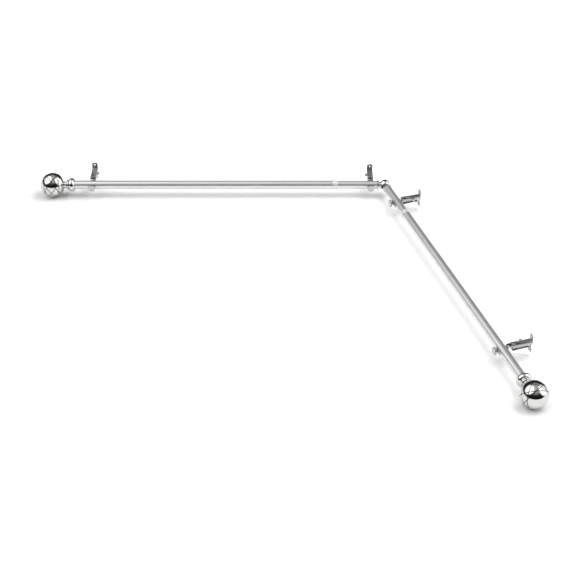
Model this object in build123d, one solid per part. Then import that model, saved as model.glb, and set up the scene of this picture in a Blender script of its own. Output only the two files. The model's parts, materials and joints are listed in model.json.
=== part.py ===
from build123d import *
import math
import os

# Corner curtain rod: two telescoping rods joined by a swivel elbow, a ball finial on each free
# end and four adjustable wall brackets. Millimetres, +Z up, left rod along -X, walls on the +Y side.
# The model is laid out about the elbow's pivot and then moved so that the origin is the middle of
# the wall face of the bracket nearest the elbow on the left rod, at the height of the rods' axis.

# --- Fits ---------------------------------------------------------------------------------------
FIT = 0.03                  # radial gap of a fixed or threaded fit
RUNNING = 0.05              # radial gap of a running fit
SLIDE_GAP = 0.10            # gap on each side of sliding sheet-metal pieces
CLEARANCE = 0.35            # gap between pieces that pass without touching

# --- Rods ---------------------------------------------------------------------------------------
CORNER_TURN = 72.4          # degrees the right rod turns away from a straight line
OUTER_OD = 20.6
TUBE_WALL = 0.6
TUBE_GAP = 0.15             # between the inner tube and the outer tube's bore
OUTER_LENGTH = 650.0
INNER_LENGTH = 570.0
LEFT_MOUTH = 119.0          # pivot to the outer tube's mouth, as stored
RIGHT_MOUTH = 136.0
OUTER_R = OUTER_OD / 2
OUTER_BORE_R = OUTER_R - TUBE_WALL
INNER_R = OUTER_BORE_R - TUBE_GAP
INNER_BORE_R = INNER_R - TUBE_WALL

# --- Mouth ring and glide -----------------------------------------------------------------------
RING_LIP = 3.0              # length in front of the outer tube's mouth
RING_SLEEVE = 9.0           # length over the outer tube
RING_WALL = 0.8
GLIDE_FLANGE = 5.0
GLIDE_SPIGOT = 12.0
GLIDE_BORE_R = INNER_BORE_R * 0.55

# --- Elbow --------------------------------------------------------------------------------------
KNUCKLE_R = 13.0
TONGUE_HALF = 4.2           # half the tongue's thickness
EAR_GAP = 0.15              # gap between the tongue and each ear
TONGUE_R = KNUCKLE_R * 0.64
THROAT_GAP = 0.4
TONGUE_BAR_HALF = KNUCKLE_R / 2
NECK_R = 7.0
NECK_END = KNUCKLE_R + 1.5  # pivot to the collar
COLLAR_LIP = 1.7            # the collar stands this far proud of the inner tube
COLLAR_LENGTH = 4.0
COLLAR_ROUND = 1.2
COLLAR_R = INNER_R + COLLAR_LIP
COLLAR_END = NECK_END + COLLAR_LENGTH
SPIGOT_LENGTH = 27.0
SPIGOT_CHAMFER = 1.5
PIN_R = 3.0
PIN_HEAD_R = 4.6
PIN_HEAD_HEIGHT = 2.0
PIN_LET_IN = 1.0            # depth of the pin's head and nut below the knuckle's surface
PIN_SLOT_HALF = 0.6
PIN_SLOT_TURN = 35
PIN_NUT_R = 4.2
PIN_NUT_HEIGHT = 2.2
RIVET_R = 2.0
RIVET_FROM_COLLAR = 6.0

# --- Finial -------------------------------------------------------------------------------------
BALL_R = 29.75
BALL_WALL = 2.5
BALL_BOSS_R = 7.5
BALL_BOSS_LENGTH = 10.0
BALL_FLAT = BALL_R - 1.45   # ball centre to the flat that the neck seats on
GROOVE_R = 0.55
GROOVE_TILT = 38.0          # degrees each engraved ring leans away from square to the rod
GROOVE_TURNS = (15.0, 75.0, 135.0, 195.0, 255.0, 315.0)
SOCKET_DEPTH = 8.0
CUP_LIP_R = OUTER_R + 1.3
CUP_BULGE_R = OUTER_R + 6.5
BEAD_R = OUTER_R + 2.3
CUP_LENGTH = 12.2           # tube's end to the end of the bead
NECK_LENGTH = 6.5
FINIAL_NECK_R = 8.5
NECK_WAIST = 0.6
STUD_R = 4.0
STUD_IN_BALL = 9.0
STUD_IN_TUBE = 11.0
INSERT_LENGTH = 14.0
CUP_END = CUP_LENGTH + NECK_LENGTH
BALL_FROM_END = CUP_END + BALL_FLAT

# --- Brackets -----------------------------------------------------------------------------------
# Distances d are from the rods' axis towards the wall, with the bracket at the corner setting.
PROJECTION = 58.0           # rods' axis to the wall
TRAVEL_IN = 1.5             # the wall side can come this much nearer to the rod
TRAVEL_OUT = 8.5            # and this much farther
SLID_OUT = {"left_end": 8.0, "left_corner": 0.0, "right_corner": 0.0, "right_end": 8.0}
BRACKET_AT = {"left_end": 719.0, "left_corner": 35.0, "right_corner": 84.0, "right_end": 682.0}
PLATE_WIDTH = 14.0
PLATE_SHEET = 1.5
PLATE_TOP = 24.0
PLATE_BOTTOM = -20.0
PLATE_CORNER_R = 4.0
PANEL_BOTTOM = 0.0          # lower end of the plate's wide upper part
PAD_TOP = -9.0              # upper end of the pad round the lower wall screw
PLATE_NECK_HALF = 2.0       # half the width of the neck between them
WALL_HOLE_R = 2.2
WALL_HOLE_HEIGHTS = (18.0, -15.0)
CHANNEL_TOP = 9.0
CHANNEL_BOTTOM = 2.0
CHANNEL_SHEET = 1.2
CRADLE_SHEET = 1.5
CRADLE_GAP = 0.35           # cradle to the outer tube
CRADLE_LIP_TOP = 5.5
CRADLE_BEND_R = 2.6
FLANGE_SHEET = 1.0
FLANGE_BOTTOM = 3.0
FLANGE_SETBACK = 1.5        # channel's front to the start of the arm's flanges
GUIDE_SETBACK = 12.5        # channel's front to the guide screw
GUIDE_R = 1.95
GUIDE_HEAD_R = 3.6
GUIDE_HEAD_HEIGHT = 1.8
GUIDE_RECESS = (2.0, 0.4, 0.9)   # half length, half width and depth of the cross recess
NUT_FLATS = 7.0
NUT_HEIGHT = 2.2
KNOB_FROM_WALL = 20.0
KNOB_HEIGHT = 5.2
KNOB_SHANK_R = 1.5
KNOB_R = 3.4
KNOB_LENGTH = 5.0
KNOB_FLUTES = 14
LOCK_SHANK_R = 1.95
LOCK_HEAD_R = 8.8
LOCK_HEAD_LENGTH = 3.2
LOCK_FLUTES = 24
LOCK_SHOULDER = 1.2
LOCK_TIP_GAP = 0.1
BRACE_SHEET = 1.2
BRACE_SETBACK = 3.0         # the brace is this much narrower than the wall plate
BRACE_BEND_R = 8.0
BRACE_TOP = -4.2
BRACE_TIP = -5.6
BRACE_ARCH = 0.7

# --- Worked-out bracket sizes -------------------------------------------------------------------
CRADLE_BORE_R = OUTER_R + CRADLE_GAP
CRADLE_OUTER_R = CRADLE_BORE_R + CRADLE_SHEET
CHANNEL_FRONT = CRADLE_OUTER_R + CLEARANCE
CHANNEL_BORE_HALF = PLATE_WIDTH / 2 - CHANNEL_SHEET
CRADLE_HALF = CHANNEL_BORE_HALF - SLIDE_GAP
STRIP_TOP = CHANNEL_TOP - CHANNEL_SHEET - SLIDE_GAP
STRIP_BOTTOM = STRIP_TOP - CRADLE_SHEET
PLATE_INNER = PROJECTION - PLATE_SHEET
STRIP_END = PLATE_INNER - TRAVEL_IN - 1
GUIDE_D = CHANNEL_FRONT + GUIDE_SETBACK
KNOB_D = PROJECTION - KNOB_FROM_WALL
LOCK_HEAD_D = CRADLE_OUTER_R + FIT + NUT_HEIGHT + LOCK_SHOULDER + 2 * CLEARANCE
BRACE_FRONT = CRADLE_OUTER_R + 2


def turned(*outline):
    """Solid of revolution about X from (x, radius) corners."""
    return revolve(make_face(Polyline(*outline, outline[0])), Axis.X, 360)


def rod(radius, x_from, x_to):
    """Round bar along X."""
    bar = Cylinder(radius, x_to - x_from, rotation=(0, 90, 0))
    return Pos((x_from + x_to) / 2, 0, 0) * bar


def block(low, high):
    """Box between two corners."""
    size = [b - a for a, b in zip(low, high)]
    middle = [(a + b) / 2 for a, b in zip(low, high)]
    return Pos(*middle) * Box(*size)


def upright(radius, z_from, z_to):
    """Round bar along Z."""
    return Pos(0, 0, (z_from + z_to) / 2) * Cylinder(radius, z_to - z_from)


def hexagon_nut(flats, height, bore_r):
    """Nut standing on Z = 0."""
    blank = extrude(RegularPolygon(flats / 2, 6, major_radius=False), amount=height)
    return blank - upright(bore_r, -1, height + 1)


def knurled(radius, length, flutes):
    """Disc along Z from Z = 0 with round flutes round its edge."""
    disc = upright(radius, 0, length)
    flute_r = math.pi * radius / flutes * 0.45
    cutter = upright(flute_r, -1, length + 1)
    return disc - [place * cutter for place in PolarLocations(radius + flute_r * 0.35, flutes)]


# --- Rod pieces, along +X from the pivot --------------------------------------------------------
def inner_tube():
    end = COLLAR_END + INNER_LENGTH
    tube = rod(INNER_R, COLLAR_END, end) - rod(INNER_BORE_R, COLLAR_END - 1, end + 1)
    return tube - rivet_shape(RIVET_R + FIT)


def inner_glide():
    """Nylon plug that centres the hidden end of the inner tube in the outer one."""
    end = COLLAR_END + INNER_LENGTH
    flange = rod(OUTER_BORE_R - RUNNING, end, end + GLIDE_FLANGE)
    spigot = rod(INNER_BORE_R - FIT, end - GLIDE_SPIGOT, end)
    return flange + spigot - rod(GLIDE_BORE_R, end - GLIDE_SPIGOT - 1, end + GLIDE_FLANGE + 1)


def outer_tube(mouth):
    end = mouth + OUTER_LENGTH
    return rod(OUTER_R, mouth, end) - rod(OUTER_BORE_R, mouth - 1, end + 1)


def mouth_ring(mouth):
    """Ferrule on the outer tube's mouth; its lip runs on the inner tube."""
    lip_r = INNER_R + RUNNING
    sleeve_r = OUTER_R + FIT
    ring_r = sleeve_r + RING_WALL
    front = mouth - RING_LIP
    back = mouth + RING_SLEEVE
    round_off = RING_WALL * 0.6
    return turned(
        (front, lip_r), (front, ring_r - round_off), (front + round_off, ring_r),
        (back - round_off, ring_r), (back, ring_r - round_off), (back, sleeve_r),
        (mouth, sleeve_r), (mouth, lip_r),
    )


def rivet_shape(radius):
    """Upright pin through the underside of the inner tube into the elbow's spigot."""
    at = COLLAR_END + RIVET_FROM_COLLAR
    pin = Pos(at, 0, 0) * upright(radius, -INNER_R - 2, -INNER_BORE_R / 2)
    return pin


def elbow_rivet():
    return rivet_shape(RIVET_R) & rod(INNER_R - FIT, 0, COLLAR_END + SPIGOT_LENGTH)


def elbow_stem(neck_start):
    """Neck, collar and spigot that both halves of the elbow share."""
    spigot_r = INNER_BORE_R - FIT
    end = COLLAR_END + SPIGOT_LENGTH
    flare = COLLAR_ROUND * 0.7
    stem = turned(
        (neck_start, 0), (neck_start, NECK_R), (NECK_END - flare, NECK_R),
        (NECK_END, COLLAR_R - COLLAR_ROUND),
        (NECK_END + COLLAR_ROUND, COLLAR_R), (COLLAR_END - COLLAR_ROUND / 2, COLLAR_R),
        (COLLAR_END - FIT, COLLAR_R - COLLAR_ROUND / 2), (COLLAR_END - FIT, spigot_r),
        (end - SPIGOT_CHAMFER, spigot_r), (end, spigot_r - SPIGOT_CHAMFER), (end, 0),
    )
    return stem - rivet_shape(RIVET_R + FIT)


def elbow_fork():
    """Left half: two ears with the tongue's slot between them. Built along +X, turned to -X."""
    ball = Sphere(KNUCKLE_R)
    slot_half = TONGUE_HALF + EAR_GAP
    reach = KNUCKLE_R + 1
    throat = TONGUE_R + THROAT_GAP
    slot = block((-reach, -reach, -slot_half), (throat, reach, slot_half))
    hole = upright(PIN_R + FIT, -reach, reach)
    top_pocket = upright(PIN_HEAD_R + RUNNING, KNUCKLE_R - PIN_HEAD_HEIGHT - PIN_LET_IN, reach)
    bottom_pocket = upright(PIN_NUT_R + RUNNING, -reach, -KNUCKLE_R + PIN_NUT_HEIGHT + PIN_LET_IN)
    stem = elbow_stem(math.sqrt(KNUCKLE_R**2 - NECK_R**2) - THROAT_GAP)
    return ball + stem - slot - hole - top_pocket - bottom_pocket


def elbow_tongue():
    """Right half: a flat tongue that turns between the ears."""
    eye = upright(TONGUE_R, -TONGUE_HALF, TONGUE_HALF)
    bar = block((0, -TONGUE_BAR_HALF, -TONGUE_HALF), (KNUCKLE_R, TONGUE_BAR_HALF, TONGUE_HALF))
    stem = elbow_stem(math.sqrt(KNUCKLE_R**2 - TONGUE_HALF**2) + THROAT_GAP)
    return eye + bar + stem - upright(PIN_R + RUNNING, -KNUCKLE_R, KNUCKLE_R)


def elbow_pin():
    """Shouldered hinge screw with a slotted head, let into the upper ear."""
    head_from = KNUCKLE_R - PIN_HEAD_HEIGHT - PIN_LET_IN + FIT
    head = upright(PIN_HEAD_R, head_from, head_from + PIN_HEAD_HEIGHT)
    shank = upright(PIN_R, -KNUCKLE_R + PIN_LET_IN + FIT, head_from)
    across = PIN_HEAD_R + 1
    slot_floor = head_from + PIN_HEAD_HEIGHT / 2
    slot = block((-across, -PIN_SLOT_HALF, slot_floor), (across, PIN_SLOT_HALF, KNUCKLE_R + 1))
    return head + shank - Rot(0, 0, PIN_SLOT_TURN) * slot


def elbow_nut():
    bottom = -KNUCKLE_R + PIN_LET_IN
    nut = upright(PIN_NUT_R, bottom, bottom + PIN_NUT_HEIGHT - FIT)
    return nut - upright(PIN_R + FIT, bottom - 1, bottom + PIN_NUT_HEIGHT + 1)


# --- Finial, with X = 0 at the outer tube's end -------------------------------------------------
def finial_insert():
    """Threaded plug pressed into the outer tube's end."""
    return rod(OUTER_BORE_R - FIT, -INSERT_LENGTH, -FIT) - rod(STUD_R + FIT, -INSERT_LENGTH - 1, 1)


def finial_cup():
    """Turned collar: socket over the tube, bulge, bead and neck."""
    bore_r = STUD_R + FIT
    socket_r = OUTER_R + FIT
    bulge_end = CUP_LENGTH * 0.6
    groove = CUP_LENGTH * 0.68
    groove_r = BEAD_R * 0.9
    outline = [
        Line((0, bore_r), (0, socket_r)),
        Line((0, socket_r), (-SOCKET_DEPTH, socket_r)),
        Line((-SOCKET_DEPTH, socket_r), (-SOCKET_DEPTH, CUP_LIP_R)),
        ThreePointArc((-SOCKET_DEPTH, CUP_LIP_R), (-1.2, CUP_BULGE_R), (bulge_end, groove_r + 1)),
        Line((bulge_end, groove_r + 1), (groove, groove_r)),
        ThreePointArc((groove, groove_r), ((groove + CUP_LENGTH) / 2, BEAD_R), (CUP_LENGTH, groove_r)),
        Line((CUP_LENGTH, groove_r), (CUP_LENGTH, FINIAL_NECK_R + 1)),
        ThreePointArc(
            (CUP_LENGTH, FINIAL_NECK_R + 1),
            (CUP_LENGTH + NECK_LENGTH * 0.5, FINIAL_NECK_R - NECK_WAIST),
            (CUP_END - FIT, FINIAL_NECK_R),
        ),
        Line((CUP_END - FIT, FINIAL_NECK_R), (CUP_END - FIT, bore_r)),
        Line((CUP_END - FIT, bore_r), (0, bore_r)),
    ]
    return revolve(make_face(outline), Axis.X, 360)


def finial_ball():
    """Hollow ball with a threaded boss; each engraved ring is a leaning great circle."""
    boss_end = -BALL_FLAT + BALL_BOSS_LENGTH
    cavity = Sphere(BALL_R - BALL_WALL) - rod(BALL_BOSS_R, -BALL_R, boss_end)
    ball = Sphere(BALL_R) - cavity
    for turn in GROOVE_TURNS:
        ball -= Rot(turn, 0, 0) * Rot(0, 0, GROOVE_TILT) * Rot(0, 90, 0) * Torus(BALL_R, GROOVE_R)
    ball -= block((-BALL_R - 1, -BALL_R, -BALL_R), (-BALL_FLAT, BALL_R, BALL_R))
    ball -= rod(STUD_R + FIT, -BALL_R - 1, boss_end + 1)
    return Pos(BALL_FROM_END, 0, 0) * ball


def finial_stud():
    return rod(STUD_R, -STUD_IN_TUBE, CUP_END + STUD_IN_BALL)


# --- Bracket, with X along the rod, Y towards the wall and the rod's axis at the origin ----------
def strip(path, thickness, half_width):
    """Sheet-metal strip along a path of (Y, Z) points, centred on X = 0."""
    return extrude(Plane.YZ * trace(path, thickness), amount=half_width, both=True)


def panel(width, bottom, top):
    """Round-cornered sheet lying on the wall."""
    face = RectangleRounded(width, top - bottom, PLATE_CORNER_R)
    return Pos(0, PROJECTION, (top + bottom) / 2) * extrude(Plane.XZ * face, amount=PLATE_SHEET)


def wall_plate():
    """Wide panel behind the channel, with a neck down to the pad that holds the brace's foot."""
    pad = panel(PLATE_WIDTH - BRACE_SETBACK, PLATE_BOTTOM, PAD_TOP)
    neck_ends = (PAD_TOP - PLATE_NECK_HALF, PANEL_BOTTOM + PLATE_NECK_HALF)
    neck = block((-PLATE_NECK_HALF, PLATE_INNER, neck_ends[0]), (PLATE_NECK_HALF, PROJECTION, neck_ends[1]))
    return panel(PLATE_WIDTH, PANEL_BOTTOM, PLATE_TOP) + pad + neck


def wall_arm(knob_side):
    """Wall plate with the arm's channel folded from it; the guide screw runs in the channel's slot."""
    half = PLATE_WIDTH / 2
    joint = PLATE_INNER + PLATE_SHEET / 3
    channel = block((-half, CHANNEL_FRONT, CHANNEL_BOTTOM), (half, joint, CHANNEL_TOP))
    channel = fillet(channel.edges().filter_by(Axis.Y).group_by(Axis.Z)[-1], CHANNEL_SHEET * 0.9)
    hollow_top = CHANNEL_TOP - CHANNEL_SHEET
    wide = CHANNEL_BORE_HALF
    hollow = block((-wide, CHANNEL_FRONT - 1, CHANNEL_BOTTOM - 1), (wide, PLATE_INNER, hollow_top))
    arm = wall_plate() + (channel - hollow)
    slot_r = GUIDE_R + SLIDE_GAP
    ends = (GUIDE_D - TRAVEL_OUT, GUIDE_D + TRAVEL_IN)
    arm -= block((-slot_r, ends[0], hollow_top - 1), (slot_r, ends[1], CHANNEL_TOP + 1))
    for end in ends:
        arm -= Pos(0, end, 0) * upright(slot_r, hollow_top - 1, CHANNEL_TOP + 1)
    knob_span = sorted((0, knob_side * PLATE_WIDTH))
    arm -= Pos(0, KNOB_D, KNOB_HEIGHT) * rod(KNOB_SHANK_R + FIT, *knob_span)
    for height in WALL_HOLE_HEIGHTS:
        arm -= Pos(0, PROJECTION, height) * Cylinder(WALL_HOLE_R, 4 * PLATE_SHEET, rotation=(90, 0, 0))
    return arm


def brace():
    """Strut under the arm; its notched foot slips behind the lower wall screw."""
    foot = PLATE_INNER - BRACE_SHEET / 2 - FIT
    foot_end = PLATE_BOTTOM + 1
    run_end = foot - BRACE_BEND_R
    half = (PLATE_WIDTH - BRACE_SETBACK) / 2
    path = [
        Line((foot, foot_end), (foot, BRACE_TOP - BRACE_BEND_R)),
        RadiusArc((foot, BRACE_TOP - BRACE_BEND_R), (run_end, BRACE_TOP), -BRACE_BEND_R),
        ThreePointArc(
            (run_end, BRACE_TOP),
            ((run_end + BRACE_FRONT) / 2, (BRACE_TOP + BRACE_TIP) / 2 + BRACE_ARCH),
            (BRACE_FRONT, BRACE_TIP),
        ),
    ]
    strut = strip(Wire(path), BRACE_SHEET, half)
    wide = WALL_HOLE_R + SLIDE_GAP
    notch_top = WALL_HOLE_HEIGHTS[1] + wide
    return strut - block((-wide, foot - BRACE_SHEET, foot_end - 1), (wide, foot + BRACE_SHEET, notch_top))


def cradle_arm():
    """Strip bent into a cradle round the rod, with a flanged arm that slides in the channel."""
    lip_d = CRADLE_BORE_R + CRADLE_SHEET / 2
    strip_z = (STRIP_TOP + STRIP_BOTTOM) / 2
    corner = lip_d + CRADLE_BEND_R
    path = [
        Line((-lip_d, CRADLE_LIP_TOP), (-lip_d, 0)),
        ThreePointArc((-lip_d, 0), (0, -lip_d), (lip_d, 0)),
        Line((lip_d, 0), (lip_d, strip_z - CRADLE_BEND_R)),
        RadiusArc((lip_d, strip_z - CRADLE_BEND_R), (corner, strip_z), CRADLE_BEND_R),
        Line((corner, strip_z), (STRIP_END, strip_z)),
    ]
    arm = strip(Wire(path), CRADLE_SHEET, CRADLE_HALF)
    flange_start = CHANNEL_FRONT + FLANGE_SETBACK
    for side in (-1, 1):
        inner, outer = sorted((side * (CRADLE_HALF - FLANGE_SHEET), side * CRADLE_HALF))
        arm += block((inner, flange_start, FLANGE_BOTTOM), (outer, STRIP_END, STRIP_TOP))
    arm -= Pos(0, GUIDE_D, 0) * upright(GUIDE_R + FIT, STRIP_BOTTOM - 1, STRIP_TOP + 1)
    screw_hole = upright(LOCK_SHANK_R + SLIDE_GAP, -2 * CRADLE_SHEET, 2 * CRADLE_SHEET)
    return arm - Pos(0, -CRADLE_OUTER_R, 0) * Rot(90, 0, 0) * screw_hole


def lip_nut():
    """Nut fixed to the outside of the cradle's lip for the lock screw."""
    nut = hexagon_nut(NUT_FLATS, NUT_HEIGHT, LOCK_SHANK_R + FIT)
    return Pos(0, -CRADLE_OUTER_R - FIT, 0) * Rot(90, 0, 0) * nut


def lock_screw(tube_r):
    """Thumbscrew that clamps the rod in the cradle."""
    tip = tube_r + LOCK_TIP_GAP
    head = knurled(LOCK_HEAD_R, LOCK_HEAD_LENGTH, LOCK_FLUTES)
    shank = upright(LOCK_SHANK_R, tip - LOCK_HEAD_D, 0)
    shoulder = upright(LOCK_SHANK_R * 1.6, -LOCK_SHOULDER, 0)
    return Pos(0, -LOCK_HEAD_D, 0) * Rot(90, 0, 0) * (head + shank + shoulder)


def projection_knob(side):
    """Thumbscrew through the channel's side; its tip bears on the sliding arm's flange."""
    tip = CRADLE_HALF + LOCK_TIP_GAP
    start = PLATE_WIDTH / 2 + 2 * SLIDE_GAP
    knob = Pos(0, 0, start) * knurled(KNOB_R, KNOB_LENGTH, KNOB_FLUTES)
    screw = knob + upright(KNOB_SHANK_R, tip, start)
    return Pos(0, KNOB_D, KNOB_HEIGHT) * Rot(0, side * 90, 0) * screw


def guide_screw():
    """Pan-head screw fixed in the sliding arm; it runs along the slot in the channel's top."""
    bottom = CHANNEL_TOP + SLIDE_GAP / 2
    top = bottom + GUIDE_HEAD_HEIGHT
    head = upright(GUIDE_HEAD_R, bottom, top)
    head = fillet(head.edges().group_by(Axis.Z)[-1], GUIDE_HEAD_HEIGHT / 2)
    shank = upright(GUIDE_R, STRIP_BOTTOM - NUT_HEIGHT - 1, bottom)
    length, width, depth = GUIDE_RECESS
    recess = [block((-a, -b, top - depth), (a, b, top + 1)) for a, b in ((length, width), (width, length))]
    return Pos(0, GUIDE_D, 0) * (head + shank - recess)


def guide_nut():
    nut = Rot(0, 0, 30) * hexagon_nut(NUT_FLATS, NUT_HEIGHT, GUIDE_R + FIT)
    return Pos(0, GUIDE_D, STRIP_BOTTOM - FIT - NUT_HEIGHT) * nut


# --- Assembly -----------------------------------------------------------------------------------
LEFT_TURN = Rot(0, 0, 180)
RIGHT_TURN = Rot(0, 0, -CORNER_TURN)
ORIGIN_SHIFT = Pos(BRACKET_AT["left_corner"], -PROJECTION, 0)


def rod_nodes(side):
    """Every piece of one rod, by node name, placed about the pivot."""
    turn = LEFT_TURN if side == "left" else RIGHT_TURN
    mouth = LEFT_MOUTH if side == "left" else RIGHT_MOUTH
    tube_end = Pos(mouth + OUTER_LENGTH, 0, 0)
    pieces = {
        "inner_tube": inner_tube(),
        "inner_glide": inner_glide(),
        "elbow_rivet": elbow_rivet(),
        "outer_tube": outer_tube(mouth),
        "mouth_ring": mouth_ring(mouth),
        "finial_insert": tube_end * finial_insert(),
        "finial_cup": tube_end * finial_cup(),
        "finial_ball": tube_end * finial_ball(),
        "finial_stud": tube_end * finial_stud(),
    }
    return {f"{name}_{side}": turn * piece for name, piece in pieces.items()}


def bracket_nodes(place):
    """Every piece of one bracket, by node name, placed about the pivot."""
    on_left = place.startswith("left")
    on_outer_tube = place.endswith("end")
    along = -BRACKET_AT[place] if on_left else BRACKET_AT[place]
    seat = (Rot(0, 0, 0) if on_left else RIGHT_TURN) * Pos(along, 0, 0)
    knob_side = 1 if place in ("left_end", "right_corner") else -1
    wall_side = {
        "wall_arm": wall_arm(knob_side),
        "brace": brace(),
        "projection_knob": projection_knob(knob_side),
    }
    rod_side = {
        "cradle_arm": cradle_arm(),
        "lip_nut": lip_nut(),
        "lock_screw": lock_screw(OUTER_R if on_outer_tube else INNER_R),
        "guide_screw": guide_screw(),
        "guide_nut": guide_nut(),
    }
    pieces = {name: Pos(0, SLID_OUT[place], 0) * piece for name, piece in wall_side.items()} | rod_side
    return {f"{name}_{place}": seat * piece for name, piece in pieces.items()}


def all_nodes():
    nodes = {
        "elbow_left": LEFT_TURN * elbow_fork(),
        "elbow_right": RIGHT_TURN * elbow_tongue(),
        "elbow_pin": elbow_pin(),
        "elbow_nut": elbow_nut(),
    }
    for side in ("left", "right"):
        nodes.update(rod_nodes(side))
    for place in BRACKET_AT:
        nodes.update(bracket_nodes(place))
    return {name: ORIGIN_SHIFT * shape for name, shape in nodes.items()}


def main():
    os.makedirs("parts", exist_ok=True)
    for name, shape in all_nodes().items():
        export_step(shape, f"parts/{name}.step")


if __name__ == "__main__":
    main()
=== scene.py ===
"""Corner curtain rod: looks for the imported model, laid out as an add-on and run as a script.

Metres, in the row frame. Each rod has its own working frame: X along the rod away from the elbow,
Z up, origin at the elbow's pivot. Each bracket's frame is the same one moved along its rod.
"""

import json
import math

import bmesh
import bpy
from mathutils import Matrix, Vector


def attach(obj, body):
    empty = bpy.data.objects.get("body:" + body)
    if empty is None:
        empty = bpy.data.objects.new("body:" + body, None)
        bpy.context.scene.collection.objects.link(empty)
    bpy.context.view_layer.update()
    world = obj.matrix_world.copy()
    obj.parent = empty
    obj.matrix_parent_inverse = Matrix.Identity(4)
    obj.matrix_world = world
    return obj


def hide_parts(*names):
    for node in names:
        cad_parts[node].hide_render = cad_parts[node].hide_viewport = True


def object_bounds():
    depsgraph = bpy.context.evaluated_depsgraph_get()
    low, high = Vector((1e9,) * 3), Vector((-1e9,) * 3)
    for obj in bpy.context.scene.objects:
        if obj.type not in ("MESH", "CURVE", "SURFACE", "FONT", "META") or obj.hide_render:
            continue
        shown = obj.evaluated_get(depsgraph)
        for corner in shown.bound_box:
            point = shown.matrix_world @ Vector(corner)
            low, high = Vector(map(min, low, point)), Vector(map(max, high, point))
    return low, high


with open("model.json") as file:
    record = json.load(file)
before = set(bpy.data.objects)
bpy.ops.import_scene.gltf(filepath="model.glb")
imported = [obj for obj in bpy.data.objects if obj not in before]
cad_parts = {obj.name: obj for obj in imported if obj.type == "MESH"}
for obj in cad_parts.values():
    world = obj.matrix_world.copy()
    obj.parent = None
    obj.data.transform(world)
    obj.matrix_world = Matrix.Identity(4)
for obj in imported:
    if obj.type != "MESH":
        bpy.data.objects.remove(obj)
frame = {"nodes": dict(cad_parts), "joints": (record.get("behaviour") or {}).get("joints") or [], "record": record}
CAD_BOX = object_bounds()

bl_info = {
    "name": "Corner Curtain Rod",
    "version": (1, 0, 0),
    "blender": (4, 5, 0),
    "location": "3D View > Sidebar > Curtain Rod",
    "description": "Builds the finishes and detailed pieces of a telescoping corner curtain rod",
    "category": "Object",
}

MM = 0.001
FIT = 0.03 * MM             # radial gap of a fixed fit
UP = Vector((0, 0, 1))
SIDES = ("left", "right")
PLACES = ("left_end", "left_corner", "right_corner", "right_end")
JOINTS = {joint["name"]: joint for joint in frame["joints"]}
BODY_OF = {
    node: body
    for body, members in frame["record"]["behaviour"]["bodies"].items()
    for node in members
}


# --- Working frames -----------------------------------------------------------------------------
def rod_matrix(side):
    """Rod frame to row frame."""
    pivot = Vector(JOINTS["elbow_swing"]["pos_m"])
    along = Vector(JOINTS[f"{side}_telescope"]["axis"]).normalized()
    across = UP.cross(along)
    turn = Matrix((along, across, UP)).transposed()
    return Matrix.Translation(pivot) @ turn.to_4x4()


def points_in(node, matrix):
    """A CAD node's vertices in a working frame."""
    inverse = matrix.inverted()
    return [inverse @ vertex.co for vertex in frame["nodes"][node].data.vertices]


def reach(node, matrix, axis=0):
    """Lowest and highest coordinate of a CAD node along one axis of a working frame."""
    values = [point[axis] for point in points_in(node, matrix)]
    return min(values), max(values)


def widest(node, matrix):
    """Largest radius of a CAD node about the working frame's X axis."""
    return max(math.hypot(point.y, point.z) for point in points_in(node, matrix))


def screw_matrix(joint_name):
    """Frame of a thumbscrew: Z out of its head along the joint's axis, origin at the joint."""
    joint = JOINTS[joint_name]
    out = Vector(joint["axis"]).normalized()
    side = UP.cross(out)
    turn = Matrix((side, out.cross(side), out)).transposed()
    return Matrix.Translation(Vector(joint["pos_m"])) @ turn.to_4x4()


ROD = {side: rod_matrix(side) for side in SIDES}


# --- Settings -----------------------------------------------------------------------------------
class RodSizes(bpy.types.PropertyGroup):
    """Sizes of the modelled detail."""

    round_steps: bpy.props.IntProperty(
        name="Round steps", description="Faces round each turned piece", default=144, min=24
    )
    edge_round: bpy.props.FloatProperty(
        name="Edge rounding", description="Rounding on pressed and cast edges",
        default=0.00022, unit="LENGTH", subtype="DISTANCE",
    )
    tube_lip: bpy.props.FloatProperty(
        name="Tube lip", description="Chamfer on each cut tube end",
        default=0.00018, unit="LENGTH", subtype="DISTANCE",
    )
    knurl_depth: bpy.props.FloatProperty(
        name="Knurl depth", description="Depth of the flutes round the thumbscrew heads",
        default=0.0005, unit="LENGTH", subtype="DISTANCE",
    )
    thread_pitch: bpy.props.FloatProperty(
        name="Thread pitch", description="Pitch of the thumbscrew threads",
        default=0.0007, unit="LENGTH", subtype="DISTANCE",
    )


class FinishColours(bpy.types.PropertyGroup):
    """Colours of the plated finishes."""

    nickel: bpy.props.FloatVectorProperty(
        name="Satin nickel", description="Colour of the rods", subtype="COLOR",
        size=3, min=0, max=1, default=(0.75, 0.75, 0.755),
    )
    chrome: bpy.props.FloatVectorProperty(
        name="Chrome", description="Colour of the finials and the elbow", subtype="COLOR",
        size=3, min=0, max=1, default=(0.64, 0.635, 0.62),
    )
    pressed_steel: bpy.props.FloatVectorProperty(
        name="Pressed steel", description="Colour of the plated brackets", subtype="COLOR",
        size=3, min=0, max=1, default=(0.47, 0.47, 0.475),
    )
    screw_zinc: bpy.props.FloatVectorProperty(
        name="Zinc", description="Colour of the screws and nuts", subtype="COLOR",
        size=3, min=0, max=1, default=(0.5, 0.505, 0.52),
    )
    nylon: bpy.props.FloatVectorProperty(
        name="Nylon", description="Colour of the glide plugs and inserts", subtype="COLOR",
        size=3, min=0, max=1, default=(0.8, 0.79, 0.76),
    )
    ring_line_colour: bpy.props.FloatVectorProperty(
        name="Ring line colour", description="Dark colour painted along the engraved rings",
        subtype="COLOR", size=3, min=0, max=1, default=(0.035, 0.03, 0.025),
    )


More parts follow.
